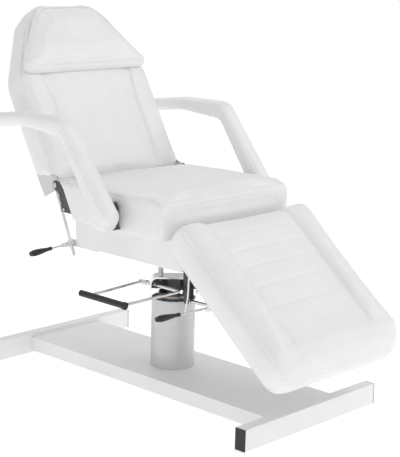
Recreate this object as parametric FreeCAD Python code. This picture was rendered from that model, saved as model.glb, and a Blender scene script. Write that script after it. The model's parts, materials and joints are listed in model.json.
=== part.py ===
"""Hydraulic treatment chair: pump column on an H-shaped foot, swivelling seat frame,
reclining back, tilting leg rest, clamped struts, foot pump lever and lift-out armrests.

Everything is drawn about the column axis, with z = 0 on the floor, +Z up, -Y towards the
sitter's feet and -X towards the sitter's right hand, and is shifted on export so that the
origin lies under the middle of the whole chair. All lengths are in millimetres.
"""
import FreeCAD, Part
import math
import os

V = FreeCAD.Vector
X_AXIS = V(1, 0, 0)
Y_AXIS = V(0, 1, 0)
Z_AXIS = V(0, 0, 1)
ORIGIN = V(0, 0, 0)
TO_ROW_FRAME = V(0, 40.67, 0)                    # from the column axis to the middle of the chair

# ---- driving dimensions ----------------------------------------------------------
# foot
BAR_LENGTH, BAR_DEPTH, BAR_HEIGHT, BAR_WALL = 644.0, 40.0, 70.0, 3.0
FRONT_BAR_Y, REAR_BAR_Y = -634.0, 569.0        # front faces of the two bars
CAP_THICKNESS, CAP_PLUG = 3.0, 18.0
PLATFORM_WIDTH, PLATFORM_BOTTOM, PLATFORM_TOP, PLATFORM_WALL = 330.0, 8.0, 57.0, 4.0

# column and lift
COVER_RADIUS, COVER_WALL, COVER_TOP = 76.0, 2.0, 300.0
FLANGE_RADIUS, FLANGE_THICKNESS = 71.0, 10.0
FLANGE_BOLT_CIRCLE = 60.0
GUIDE_RADIUS, GUIDE_WALL, GUIDE_TOP = 50.0, 6.0, 292.0
LIFT_RADIUS, LIFT_BORE, LIFT_TOP = 40.0, 30.0, 302.0
PISTON_ROD_RADIUS, PISTON_TOP = 14.0, 270.0
RUNNING = 0.05                                  # radial clearance of every running fit

# swivel head and saddle
SPINDLE_RADIUS, SPINDLE_TOP = 18.0, 350.0
TURNTABLE_RADIUS, TURNTABLE_THICKNESS, WASHER_THICKNESS = 52.0, 8.0, 3.0
HUB_RADIUS, HUB_TOP = 32.0, 370.0
SADDLE_WIDTH, SADDLE_DEPTH, SADDLE_PLATE, SADDLE_BEND = 166.0, 66.0, 6.0, 26.0
SADDLE_BOTTOM, SADDLE_TURN = 304.0, -45.0       # the saddle stands askew to the frame
MOUNT_Z, MOUNT_THICKNESS = 420.0, 6.0
MOUNT_HALF_X, MOUNT_HALF_Y = 72.0, 62.0
PEDESTAL_X, PEDESTAL_Y, PEDESTAL_SIZE = 54.0, 45.0, 30.0
RAIL_Z = 452.0

# seat frame
RAIL_SIZE, RAIL_WALL, RAIL_X, RAIL_HALF_LENGTH = 40.0, 2.5, 130.0, 232.0
CROSS_Y, CROSS_HEIGHT, CROSS_HALF_X = 205.0, 25.0, 234.0
SEAT_Z = 600.0                                  # underside of the seat upholstery
SEAT_HALF_WIDTH, SEAT_FRONT_Y = 308.0, -250.0
BOARD_THICKNESS, SEAT_CROWN_Z = 15.0, 718.0
SKIRT_X, SKIRT_THICKNESS, SKIRT_BOTTOM, SKIRT_TOP = 242.0, 5.0, 478.0, 592.0

# backrest: local s runs up the back, local t points out of its front face
BACK_ANGLE = 60.5                               # degrees above the horizontal at rest
BACK_ORIGIN = V(0, 266, 690)
BACK_HINGE = V(0, 272, 687)
BACK_LENGTH, BACK_THICKNESS = 676.0, 92.0
BACK_PANEL = 6.0

# leg rest: local s runs towards the feet, local t points out of its top face
LEG_ANGLE = 40.0                                # degrees below the horizontal at rest
LEG_HINGE = V(0, -254, 590)
LEG_LENGTH, LEG_TOP_T, LEG_UNDER_T, LEG_PANEL = 618.0, 100.0, -14.0, 6.0
LEG_NOSE_S, LEG_NOSE_T = 78.0, 52.0             # length and height of the sloping foot end
HINGE_X, HINGE_PLATE, HINGE_EYE, HINGE_PIN = 200.0, 8.0, 9.5, 5.0

# struts
STRUT_RADIUS = 6.0
BACK_STRUT_X = -200.0
BACK_CLAMP_YZ = (311.0, 463.0)
BACK_STRUT_ST = (165.0, -118.0)                 # pin on the backrest, local s and t
BACK_ROD_LENGTH = 386.0
LEG_STRUT_X = -20.0
LEG_PIVOT_YZ = (-92.0, 307.0)
LEG_STRUT_ST = (360.0, -52.0)                   # pin on the leg rest, local s and t
LEG_TUBE_LENGTH, LEG_TUBE_RADIUS, LEG_ROD_LENGTH = 300.0, 10.0, 297.0
HEAD_NECK = 33.0                                # from a strut's pin to the start of its head
PIVOT_PIN, SLOT_PIN = 5.0, 3.0

# pump lever
LEVER_SHAFT_X, LEVER_Z, LEVER_SHAFT_RADIUS = -58.0, 345.0, 7.0
LEVER_FRONT_Y, LEVER_REAR_Y, LEVER_GRIP_X = -88.0, 98.0, -322.0
LEVER_ROD, LEVER_GRIP_RADIUS = 5.0, 11.0

# armrests
ARM_X, ARM_WIDTH = 380.0, 66.0
SOCKET_X, SOCKET_SIZE_X, SOCKET_SIZE_Y, SOCKET_WALL = 326.0, 20.0, 40.0, 3.0
SOCKET_Y, SOCKET_BOTTOM, SOCKET_TOP = -35.0, 590.0, 668.0
TONGUE_CLEARANCE = 1.0


# ---- helpers -------------------------------------------------------------------------
def box(x0, x1, y0, y1, z0, z1):
    return Part.makeBox(x1 - x0, y1 - y0, z1 - z0, V(x0, y0, z0))


def cylinder(start, end, radius):
    axis = end - start
    return Part.makeCylinder(radius, axis.Length, start, axis)


def cone(start, end, radius_start, radius_end):
    axis = end - start
    return Part.makeCone(radius_start, radius_end, axis.Length, start, axis)


def tube(start, end, outer, inner):
    return cylinder(start, end, outer).cut(cylinder(start, end, inner))


def fuse(first, *others):
    return first.multiFuse(list(others)).removeSplitter()


def rounded_wire(corners, place):
    """Closed wire through corners (a, b, radius), each corner rounded by a tangent arc."""
    edges = []
    starts, ends, middles = [], [], []
    count = len(corners)
    for i, (a, b, radius) in enumerate(corners):
        here = V(a, b, 0)
        before = V(*corners[i - 1][:2], 0) - here
        after = V(*corners[(i + 1) % count][:2], 0) - here
        before.normalize()
        after.normalize()
        half = math.acos(max(-1.0, min(1.0, before.dot(after)))) / 2
        reach = radius / math.tan(half) if radius else 0.0
        starts.append(here + before * reach)
        ends.append(here + after * reach)
        bisector = before + after
        bisector.normalize()
        middles.append(here + bisector * (radius / math.sin(half) - radius) if radius else here)
    for i in range(count):
        if corners[i][2]:
            edges.append(Part.Arc(place(starts[i]), place(middles[i]), place(ends[i])).toShape())
        following = (i + 1) % count
        if (starts[following] - ends[i]).Length > 1e-6:
            edges.append(Part.LineSegment(place(ends[i]), place(starts[following])).toShape())
    return Part.Wire(edges)


def plate_yz(corners, x0, x1):
    """Plate of the outline (y, z, radius) between x0 and x1."""
    wire = rounded_wire(corners, lambda p: V(x0, p.x, p.y))
    return Part.Face(wire).extrude(V(x1 - x0, 0, 0))


def plate_xy(corners, z0, z1):
    """Plate of the outline (x, y, radius) between z0 and z1."""
    wire = rounded_wire(corners, lambda p: V(p.x, p.y, z0))
    return Part.Face(wire).extrude(V(0, 0, z1 - z0))


def plate_xz(corners, y0, y1):
    """Plate of the outline (x, z, radius) between y0 and y1."""
    wire = rounded_wire(corners, lambda p: V(p.x, y0, p.y))
    return Part.Face(wire).extrude(V(0, y1 - y0, 0))


def mirrored(shape):
    return shape.mirror(ORIGIN, X_AXIS)


def both_sides(shape):
    return Part.makeCompound([shape, mirrored(shape)])


def turned(shape, angle, pivot, axis=X_AXIS):
    result = shape.copy()
    result.rotate(pivot, axis, angle)
    return result


def on_back(shape):
    """Places a shape drawn as (x, s, t) on the backrest at its rest angle."""
    return moved(turned(shape, BACK_ANGLE, ORIGIN), BACK_ORIGIN)


def on_leg(shape):
    """Places a shape drawn as (x, -s, t) on the leg rest at its rest angle."""
    return moved(turned(shape, LEG_ANGLE, ORIGIN), LEG_HINGE)


def moved(shape, offset):
    result = shape.copy()
    result.translate(offset)
    return result


def back_point(s, t, x=0.0):
    a = math.radians(BACK_ANGLE)
    return BACK_ORIGIN + V(x, s * math.cos(a) - t * math.sin(a), s * math.sin(a) + t * math.cos(a))


def leg_point(s, t, x=0.0):
    a = math.radians(LEG_ANGLE)
    return LEG_HINGE + V(x, -s * math.cos(a) - t * math.sin(a), -s * math.sin(a) + t * math.cos(a))


def hex_bolt(top, shank_radius, length, head_radius, head_height):
    """Bolt hanging down from the underside of its head at top."""
    head = Part.Face(Part.makePolygon([
        top + V(head_radius * math.cos(k * math.pi / 3), head_radius * math.sin(k * math.pi / 3), 0)
        for k in range(7)])).extrude(V(0, 0, head_height))
    return head.fuse(cylinder(top, top - V(0, 0, length), shank_radius))


def rect_tube_x(x0, x1, y0, y1, z0, z1, wall):
    return box(x0, x1, y0, y1, z0, z1).cut(box(x0, x1, y0 + wall, y1 - wall, z0 + wall, z1 - wall))


def rect_tube_y(x0, x1, y0, y1, z0, z1, wall):
    return box(x0, x1, y0, y1, z0, z1).cut(box(x0 + wall, x1 - wall, y0, y1, z0 + wall, z1 - wall))


def rect_tube_z(x0, x1, y0, y1, z0, z1, wall):
    return box(x0, x1, y0, y1, z0, z1).cut(box(x0 + wall, x1 - wall, y0 + wall, y1 - wall, z0, z1))


def turned_grip(start, end, radii):
    """Moulded grip turned about the line start to end; radii are evenly spaced along it."""
    axis = end - start
    step = axis * (1.0 / (len(radii) - 1))
    pieces = []
    for i in range(len(radii) - 1):
        first, last = start + step * i, start + step * (i + 1)
        if abs(radii[i] - radii[i + 1]) < 1e-6:
            pieces.append(cylinder(first, last, radii[i]))
        else:
            pieces.append(cone(first, last, radii[i], radii[i + 1]))
    return fuse(*pieces)


# ---- foot ----------------------------------------------------------------------------
def crossbar(front_y):
    half = BAR_LENGTH / 2
    return rect_tube_x(-half, half, front_y, front_y + BAR_DEPTH, 0, BAR_HEIGHT, BAR_WALL)


def crossbar_end_caps():
    half = BAR_LENGTH / 2
    caps = []
    for front_y in (FRONT_BAR_Y, REAR_BAR_Y):
        face = box(half, half + CAP_THICKNESS, front_y, front_y + BAR_DEPTH, 0, BAR_HEIGHT)
        plug = box(half - CAP_PLUG, half, front_y + BAR_WALL, front_y + BAR_DEPTH - BAR_WALL,
                   BAR_WALL, BAR_HEIGHT - BAR_WALL)
        cap = fuse(face, plug)
        caps += [cap, mirrored(cap)]
    return Part.makeCompound(caps)


def bolt_places(radius, first_angle=45.0):
    for k in range(4):
        angle = math.radians(first_angle + 90 * k)
        yield V(radius * math.cos(angle), radius * math.sin(angle), 0)


def base_platform():
    half = PLATFORM_WIDTH / 2
    front, rear = FRONT_BAR_Y + BAR_DEPTH, REAR_BAR_Y
    folded = box(-half, half, front, rear, PLATFORM_BOTTOM, PLATFORM_TOP)
    inside = box(-half + PLATFORM_WALL, half - PLATFORM_WALL, front + PLATFORM_WALL,
                 rear - PLATFORM_WALL, PLATFORM_BOTTOM, PLATFORM_TOP - PLATFORM_WALL)
    holes = [cylinder(p + V(0, 0, PLATFORM_BOTTOM), p + V(0, 0, PLATFORM_TOP), 5.3)
             for p in bolt_places(FLANGE_BOLT_CIRCLE)]
    return folded.cut(inside).cut(Part.makeCompound(holes))


def column_cover():
    return tube(V(0, 0, PLATFORM_TOP), V(0, 0, COVER_TOP), COVER_RADIUS, COVER_RADIUS - COVER_WALL)


def pump_flange():
    top = PLATFORM_TOP + FLANGE_THICKNESS
    disc = cylinder(V(0, 0, PLATFORM_TOP), V(0, 0, top), FLANGE_RADIUS)
    holes = [cylinder(p + V(0, 0, PLATFORM_TOP), p + V(0, 0, top), 5.3)
             for p in bolt_places(FLANGE_BOLT_CIRCLE)]
    return disc.cut(Part.makeCompound(holes))


def flange_bolts():
    top = PLATFORM_TOP + FLANGE_THICKNESS
    return Part.makeCompound([hex_bolt(p + V(0, 0, top), 5.0, 26.0, 8.5, 6.5)
                              for p in bolt_places(FLANGE_BOLT_CIRCLE)])


def guide_tube():
    return tube(V(0, 0, PLATFORM_TOP + FLANGE_THICKNESS), V(0, 0, GUIDE_TOP),
                GUIDE_RADIUS, GUIDE_RADIUS - GUIDE_WALL)


def guide_bush():
    return tube(V(0, 0, GUIDE_TOP - 48), V(0, 0, GUIDE_TOP - 2), GUIDE_RADIUS - GUIDE_WALL,
                LIFT_RADIUS + RUNNING)


def piston_rod():
    return cylinder(V(0, 0, PLATFORM_TOP + FLANGE_THICKNESS), V(0, 0, PISTON_TOP), PISTON_ROD_RADIUS)


def piston_seal():
    return tube(V(0, 0, PISTON_TOP - 22), V(0, 0, PISTON_TOP - 4), LIFT_BORE - RUNNING,
                PISTON_ROD_RADIUS)


# ---- lift and swivel -----------------------------------------------------------------
def lift_cylinder():
    bottom = 82.0
    shell = cylinder(V(0, 0, bottom), V(0, 0, LIFT_TOP), LIFT_RADIUS)
    return shell.cut(cylinder(V(0, 0, bottom), V(0, 0, LIFT_TOP - 14), LIFT_BORE))


def swivel_spindle():
    table = cylinder(V(0, 0, LIFT_TOP), V(0, 0, LIFT_TOP + TURNTABLE_THICKNESS), TURNTABLE_RADIUS)
    return fuse(table, cylinder(V(0, 0, LIFT_TOP), V(0, 0, SPINDLE_TOP), SPINDLE_RADIUS))


def washer_span():
    bottom = LIFT_TOP + TURNTABLE_THICKNESS
    return bottom, bottom + WASHER_THICKNESS


def thrust_washer():
    bottom, top = washer_span()
    return tube(V(0, 0, bottom), V(0, 0, top), TURNTABLE_RADIUS - 4, SPINDLE_RADIUS + RUNNING)


def swivel_hub():
    bottom = washer_span()[1] + RUNNING
    flange = cylinder(V(0, 0, bottom), V(0, 0, bottom + 7), TURNTABLE_RADIUS)
    sleeve = cylinder(V(0, 0, bottom), V(0, 0, HUB_TOP), HUB_RADIUS)
    bore = cylinder(V(0, 0, bottom), V(0, 0, SPINDLE_TOP + 3), SPINDLE_RADIUS + RUNNING)
    return fuse(flange, sleeve).cut(bore)


def saddle_bolt_places():
    for u, v in ((-46, -20), (46, -20), (-46, 20), (46, 20)):
        yield turned(Part.Vertex(u, v, 0), SADDLE_TURN, ORIGIN, Z_AXIS).Point


def saddle():
    """Inverted U of bent plate whose open sides face across the corners of the frame."""
    half, top = SADDLE_WIDTH / 2, HUB_TOP + SADDLE_PLATE
    outer = [(-half, SADDLE_BOTTOM, 4), (half, SADDLE_BOTTOM, 4), (half, top, SADDLE_BEND),
             (-half, top, SADDLE_BEND)]
    inner_half, inner_bend = half - SADDLE_PLATE, SADDLE_BEND - SADDLE_PLATE
    inner = [(-inner_half, SADDLE_BOTTOM - 10, 0), (inner_half, SADDLE_BOTTOM - 10, 0),
             (inner_half, HUB_TOP, inner_bend), (-inner_half, HUB_TOP, inner_bend)]
    depth = SADDLE_DEPTH / 2
    shell = plate_xz(outer, -depth, depth).cut(plate_xz(inner, -depth, depth))
    shell = turned(shell, SADDLE_TURN, ORIGIN, Z_AXIS)
    shaft = cylinder(V(LEVER_SHAFT_X, 0, LEVER_Z), V(LEVER_SHAFT_X, 120, LEVER_Z),
                     LEVER_SHAFT_RADIUS + 1.5)
    holes = [cylinder(p + V(0, 0, HUB_TOP - 1), p + V(0, 0, top + 1), 5.3)
             for p in saddle_bolt_places()]
    return shell.cut(Part.makeCompound([shaft] + holes))


def saddle_web():
    """Dark plate that closes the saddle behind the hub."""
    half = SADDLE_WIDTH / 2 - SADDLE_PLATE
    bottom = washer_span()[1] + RUNNING + 7
    outline = [(-half, bottom, 0), (half, bottom, 0), (half, HUB_TOP, SADDLE_BEND - SADDLE_PLATE),
               (-half, HUB_TOP, SADDLE_BEND - SADDLE_PLATE)]
    plate = turned(plate_xz(outline, 28.5, 34.5), SADDLE_TURN, ORIGIN, Z_AXIS)
    return plate.cut(swivel_hub())


def saddle_spacers():
    bottom = HUB_TOP + SADDLE_PLATE
    return Part.makeCompound([tube(p + V(0, 0, bottom), p + V(0, 0, MOUNT_Z), 9.0, 5.3)
                              for p in saddle_bolt_places()])


def saddle_bolts():
    top = MOUNT_Z + MOUNT_THICKNESS
    nut_top = HUB_TOP
    solids = []
    for p in saddle_bolt_places():
        bolt = hex_bolt(p + V(0, 0, top), 5.0, top - nut_top + 11, 8.5, 6.5)
        nut = tube(p + V(0, 0, nut_top - 8), p + V(0, 0, nut_top), 8.0, 5.0)
        solids.append(fuse(bolt, nut))
    return Part.makeCompound(solids)


def mounting_plate():
    plate = box(-MOUNT_HALF_X, MOUNT_HALF_X, -MOUNT_HALF_Y, MOUNT_HALF_Y, MOUNT_Z,
                MOUNT_Z + MOUNT_THICKNESS)
    ear = box(-70, -50, -140, -MOUNT_HALF_Y, MOUNT_Z, MOUNT_Z + MOUNT_THICKNESS)
    tongue = box(-34, -6, LEG_PIVOT_YZ[0] - 12, -MOUNT_HALF_Y, MOUNT_Z, MOUNT_Z + MOUNT_THICKNESS)
    hanger = box(-70, -65, -140, -118, MOUNT_Z - 16, MOUNT_Z)
    pin = cylinder(V(-66, RELEASE_TOP.y, RELEASE_TOP.z), V(-50, RELEASE_TOP.y, RELEASE_TOP.z), 3.0)
    holes = [cylinder(p + V(0, 0, MOUNT_Z), p + V(0, 0, MOUNT_Z + MOUNT_THICKNESS), 5.3)
             for p in saddle_bolt_places()]
    return fuse(plate, ear, tongue, hanger, pin).cut(Part.makeCompound(holes))


# ---- seat frame and seat -------------------------------------------------------------
RELEASE_TOP = V(-60, -129, MOUNT_Z - 10)
RELEASE_BOTTOM = V(-60, -112, 268)


def frame_rails():
    """Long rails with plugged ends, and the two bridges that rest on the pedestal."""
    half, z = RAIL_SIZE / 2, RAIL_Z
    rail = box(RAIL_X - half, RAIL_X + half, -RAIL_HALF_LENGTH, RAIL_HALF_LENGTH, z, z + RAIL_SIZE)
    hollow = box(RAIL_X - half + RAIL_WALL, RAIL_X + half - RAIL_WALL, 4 - RAIL_HALF_LENGTH,
                 RAIL_HALF_LENGTH - 4, z + RAIL_WALL, z + RAIL_SIZE - RAIL_WALL)
    rail = rail.cut(hollow)
    bridges = [box(half - RAIL_X, RAIL_X - half, y - 15, y + 15, z, z + RAIL_SIZE)
               .cut(box(half - RAIL_X + 3, RAIL_X - half - 3, y - 12, y + 12, z + 3, z + RAIL_SIZE - 3))
               for y in (-PEDESTAL_Y, PEDESTAL_Y)]
    return Part.makeCompound([rail, mirrored(rail)] + bridges + pedestal_posts())


def pedestal_posts():
    """Four short tubes between the mounting plate and the bridges."""
    half, bottom = PEDESTAL_SIZE / 2, MOUNT_Z + MOUNT_THICKNESS
    posts = []
    for y in (-PEDESTAL_Y, PEDESTAL_Y):
        post = rect_tube_z(PEDESTAL_X - half, PEDESTAL_X + half, y - half, y + half, bottom, RAIL_Z, 3)
        posts += [post, mirrored(post)]
    return posts


def frame_posts():
    half = RAIL_SIZE / 2
    posts = []
    for y in (-CROSS_Y, CROSS_Y):
        post = rect_tube_z(RAIL_X - half, RAIL_X + half, y - half, y + half,
                           RAIL_Z + RAIL_SIZE, SEAT_Z - CROSS_HEIGHT, RAIL_WALL)
        posts += [post, mirrored(post)]
    return Part.makeCompound(posts)


def frame_crossmembers():
    half = RAIL_SIZE / 2
    return Part.makeCompound([
        rect_tube_x(-CROSS_HALF_X, CROSS_HALF_X, y - half, y + half, SEAT_Z - CROSS_HEIGHT,
                    SEAT_Z, RAIL_WALL)
        for y in (-CROSS_Y, CROSS_Y)])


def seat_board():
    return box(-289, 289, SEAT_FRONT_Y + 14, 172, SEAT_Z, SEAT_Z + BOARD_THICKNESS)


def seat_cushion():
    profile = [(SEAT_FRONT_Y, SEAT_Z, 6), (183, SEAT_Z, 6), (256, 695, 10), (240, 710, 14),
               (-205, SEAT_CROWN_Z, 30), (SEAT_FRONT_Y, 692, 25)]
    solid = plate_yz(profile, -SEAT_HALF_WIDTH, SEAT_HALF_WIDTH)
    pockets = [seat_board(), back_hinge_brackets(clearance=0.5), arm_sockets(), bracket_bolts()]
    return solid.cut(Part.makeCompound(pockets))


def seat_skirt():
    side_outline = [(232, SKIRT_TOP, 0), (232, SKIRT_BOTTOM, 38), (-282, SKIRT_BOTTOM, 4),
                    (-244, 560, 0), (-240, SKIRT_TOP, 0)]
    side = plate_yz(side_outline, SKIRT_X, SKIRT_X + SKIRT_THICKNESS)
    front = box(-SKIRT_X + 1, SKIRT_X - 1, -238, -233, SKIRT_BOTTOM, 568)
    rear = box(-SKIRT_X + 1, SKIRT_X - 1, 233, 238, SKIRT_BOTTOM + 20, SKIRT_TOP - 2)
    return Part.makeCompound([side, mirrored(side), front, rear])


# ---- backrest hinge and backrest -----------------------------------------------------
def back_hinge_brackets(clearance=0.0):
    """Dark side plates that carry the hinge of the backrest."""
    outline = [(60, SEAT_Z + 1, 4), (238, SEAT_Z + 1, 4), (247, 640, 30), (257, 664, 12),
               (288, 678, 15), (284, 704, 15), (256, 702, 14), (200, 640, 40), (60, 640, 6)]
    plate = plate_yz(outline, 300 - clearance, 305 + clearance)
    hole = cylinder(V(290, BACK_HINGE.y, BACK_HINGE.z), V(315, BACK_HINGE.y, BACK_HINGE.z), 6.02)
    return both_sides(plate if clearance else plate.cut(hole))


def hinge_pins():
    """Shouldered pins of the backrest hinge and of the leg rest hinge."""
    back = BACK_HINGE
    back_pin = fuse(cylinder(V(291.5, back.y, back.z), V(305, back.y, back.z), 6.0),
                    cylinder(V(305, back.y, back.z), V(308.5, back.y, back.z), 10.0))
    leg = LEG_HINGE
    outer = HINGE_X + HINGE_PLATE * 2 + 1
    leg_pin = fuse(cylinder(V(HINGE_X, leg.y, leg.z), V(outer + 1, leg.y, leg.z), HINGE_PIN),
                   cylinder(V(HINGE_X - 4, leg.y, leg.z), V(HINGE_X, leg.y, leg.z), 8.0),
                   cylinder(V(outer + 0.5, leg.y, leg.z), V(outer + 3, leg.y, leg.z), 8.0))
    return Part.makeCompound([back_pin, mirrored(back_pin), leg_pin, mirrored(leg_pin)])


def bracket_bolts():
    """Screws through the hinge brackets and through the feet of the arm sockets."""
    solids = []
    for y, z in ((252, 655), (243, 630), (225, 610)):
        head = cylinder(V(305, y, z), V(308, y, z), 6.0)
        solids += [head, mirrored(head)]
    for x in (262, 282):
        for y in (SOCKET_Y - 10, SOCKET_Y + 10):
            head = cylinder(V(x, y, SOCKET_BOTTOM + 6), V(x, y, SOCKET_BOTTOM + 10), 6.5)
            solids += [head, mirrored(head)]
    return Part.makeCompound(solids)


def back_outline(inset=0.0):
    """Half-width 308 up to two thirds of the height, then tapered to a rounded head end."""
    wide, low, high = 308 - inset, 4 + inset, BACK_LENGTH - inset
    right = [(wide, low, 8), (wide, 400 - inset / 2, 110), (194 - inset, 612 - inset / 2, 60),
             (118 - inset / 2, high, 60 - inset)]
    left = [(-x, s, r) for x, s, r in reversed(right)]
    return right + left


def back_cushion():
    solid = plate_xy(back_outline(), -BACK_THICKNESS, 0)
    notch_outline = [(-20, -120, 0), (84, -120, 0), (72, -92, 0), (40, -30, 0), (24, 2, 0),
                     (-20, 20, 0)]
    notch = plate_yz(notch_outline, 288, 320)
    undercut = plate_yz([(-20, -120, 0), (26, -120, 0), (4, -40, 0), (-20, -40, 0)], -300, 300)
    plates = back_hinge_plates_local(clearance=0.5)
    return on_back(solid.cut(Part.makeCompound([notch, mirrored(notch)])).cut(undercut).cut(plates))


def back_board():
    return on_back(plate_xy(back_outline(inset=18.0), -BACK_THICKNESS - BACK_PANEL, -BACK_THICKNESS))


def back_rails():
    rail = box(140, 170, 50, 440, -BACK_THICKNESS - BACK_PANEL - 16, -BACK_THICKNESS - BACK_PANEL)
    hollow = box(142, 168, 50, 440, -BACK_THICKNESS - BACK_PANEL - 14, -BACK_THICKNESS - BACK_PANEL - 2)
    return on_back(both_sides(rail.cut(hollow)))


def hinge_in_back():
    """The hinge axis in the backrest's own s and t."""
    a = math.radians(BACK_ANGLE)
    dy, dz = BACK_HINGE.y - BACK_ORIGIN.y, BACK_HINGE.z - BACK_ORIGIN.z
    return dy * math.cos(a) + dz * math.sin(a), -dy * math.sin(a) + dz * math.cos(a)


def back_hinge_plates_local(clearance=0.0):
    s0, t0 = hinge_in_back()
    outline = [(-12, -86, 4), (240, -88, 4), (240, -50, 20), (60, -34, 40), (s0 + 14, t0 + 12, 12),
               (s0 - 13, t0 + 12, 12), (s0 - 13, t0 - 16, 12)]
    plate = plate_yz(outline, 293 - clearance, 298 + clearance)
    if not clearance:
        plate = plate.cut(cylinder(V(290, s0, t0), V(302, s0, t0), 6.0 + RUNNING))
    return both_sides(plate)


def back_hinge_plates():
    return on_back(back_hinge_plates_local())


def fork(x_middle, gap, cheek, corners, pin_at, pin_radius):
    """Two cheeks either side of a gap, with a pin across them, in the y-z plane."""
    near = plate_yz(corners, x_middle - gap / 2 - cheek, x_middle - gap / 2)
    far = plate_yz(corners, x_middle + gap / 2, x_middle + gap / 2 + cheek)
    y, z = pin_at
    pin = cylinder(V(x_middle - gap / 2 - cheek - 3, y, z), V(x_middle + gap / 2 + cheek + 3, y, z),
                   pin_radius)
    return [near, far, pin]


def lug_feet(x_middle, gap, cheek, low, high, bottom, top):
    """Welded feet either side of a fork."""
    inner = gap / 2 + cheek
    return [box(x_middle - inner - 12, x_middle - inner, low, high, bottom, top),
            box(x_middle + inner, x_middle + inner + 12, low, high, bottom, top)]


def back_strut_lug():
    s, t = BACK_STRUT_ST
    under = -BACK_THICKNESS - BACK_PANEL
    corners = [(s - 26, under, 0), (s + 26, under, 0), (s + 8, t - 8, 7), (s - 8, t - 8, 7)]
    feet = lug_feet(BACK_STRUT_X, 14, 4, s - 24, s + 24, under - 4, under)
    cheeks = fork(BACK_STRUT_X, 14, 4, corners, (s, t), SLOT_PIN)
    return on_back(fuse(*feet, *cheeks))


def head_pillow():
    right = [(290, 399, 24), (290, 436, 40), (170, 616, 60), (116, 662, 50)]
    outline = right + [(-x, s, r) for x, s, r in reversed(right)]
    block = plate_xy(outline, 1.0, 48.0)
    slope = plate_yz([(480, 49, 0), (700, 49, 0), (700, 24, 0)], -300, 300)
    return on_back(block.cut(slope))


# ---- leg rest ------------------------------------------------------------------------
def leg_outline(inset=0.0):
    wide = SEAT_HALF_WIDTH - inset
    near, far = -8.0 - inset, -LEG_LENGTH + inset
    return [(wide, near, 12), (-wide, near, 12), (-wide, far, 60 - inset), (wide, far, 60 - inset)]


def leg_hinge_notches():
    notch = box(HINGE_X - 6, HINGE_X + 22, -30, 4, -30, 13)
    return Part.makeCompound([notch, mirrored(notch)])


def leg_cushion():
    block = plate_xy(leg_outline(), LEG_UNDER_T, LEG_TOP_T).cut(leg_hinge_notches())
    end = -LEG_LENGTH
    nose = plate_yz([(end - 5, LEG_TOP_T + 5, 0), (end - 5, LEG_TOP_T - LEG_NOSE_T, 0),
                     (end + LEG_NOSE_S, LEG_TOP_T, 0), (end + LEG_NOSE_S, LEG_TOP_T + 5, 0)], -320, 320)
    return on_leg(block.cut(nose))


def leg_board():
    board = plate_xy(leg_outline(inset=16.0), LEG_UNDER_T - LEG_PANEL, LEG_UNDER_T)
    return on_leg(board.cut(leg_hinge_notches()))


def leg_frame():
    """Two rails and a cross tube under the leg rest, with the hinge straps welded on."""
    top = LEG_UNDER_T - LEG_PANEL
    strap_x = HINGE_X + HINGE_PLATE + 1
    strap_outline = [(9.5, 9.5, 9), (9.5, -9.5, 9), (-32, top - 2, 8), (-78, top - 20, 10),
                     (-150, top - 20, 4), (-150, top, 0), (-27, top, 6), (-9.5, 9.5, 9)]
    strap = plate_yz(strap_outline, strap_x, strap_x + HINGE_PLATE)
    strap = strap.cut(cylinder(V(strap_x, 0, 0), V(strap_x + HINGE_PLATE, 0, 0), HINGE_PIN + RUNNING))
    rail = box(strap_x - 25, strap_x, -500, -78, top - 20, top)
    rail = rail.cut(box(strap_x - 23, strap_x - 2, -498, -80, top - 18, top - 2))
    cross = box(25 - strap_x, strap_x - 25, -315, -285, top - 20, top)
    cross = cross.cut(box(25 - strap_x, strap_x - 25, -313, -287, top - 18, top - 2))
    side = fuse(strap, rail)
    return on_leg(Part.makeCompound([side, mirrored(side), cross]))


def leg_strut_fork():
    s, t = LEG_STRUT_ST
    under = LEG_UNDER_T - LEG_PANEL
    corners = [(-s - 24, under, 0), (-s + 24, under, 0), (-s + 8, t - 8, 7), (-s - 8, t - 8, 7)]
    feet = lug_feet(LEG_STRUT_X, 14, 4, -s - 22, -s + 22, under - 4, under)
    cheeks = fork(LEG_STRUT_X, 14, 4, corners, (-s, t), SLOT_PIN)
    return on_leg(fuse(*feet, *cheeks))


def leg_hinge_lugs():
    y, z = LEG_HINGE.y, LEG_HINGE.z
    face = -CROSS_Y - RAIL_SIZE / 2
    outline = [(face, z - 14, 0), (face, z + HINGE_EYE, 0), (y - HINGE_EYE, z + HINGE_EYE, 9),
               (y - HINGE_EYE, z - HINGE_EYE, 9)]
    lug = plate_yz(outline, HINGE_X, HINGE_X + HINGE_PLATE)
    lug = lug.cut(cylinder(V(HINGE_X, y, z), V(HINGE_X + HINGE_PLATE, y, z), HINGE_PIN + 0.02))
    return both_sides(lug)


# ---- struts --------------------------------------------------------------------------
def back_strut_axis():
    """Unit vector from the clamp up to the pin on the backrest, and their distance."""
    clamp = V(BACK_STRUT_X, *BACK_CLAMP_YZ)
    line = back_point(*BACK_STRUT_ST, x=BACK_STRUT_X) - clamp
    return clamp, V(line).normalize(), line.Length


def back_clamp_arm():
    """Bar welded to the rear post; the clamp turns in its end."""
    y, z = BACK_CLAMP_YZ
    bar = box(-188, -180, 190, y + 14, z - 10, z + 12)
    foot = box(-188, -RAIL_X - RAIL_SIZE / 2, 190, 222, z - 10, z + 12)
    return fuse(bar, foot).cut(cylinder(V(-190, y, z), V(-178, y, z), 6.0 + RUNNING))


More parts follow.
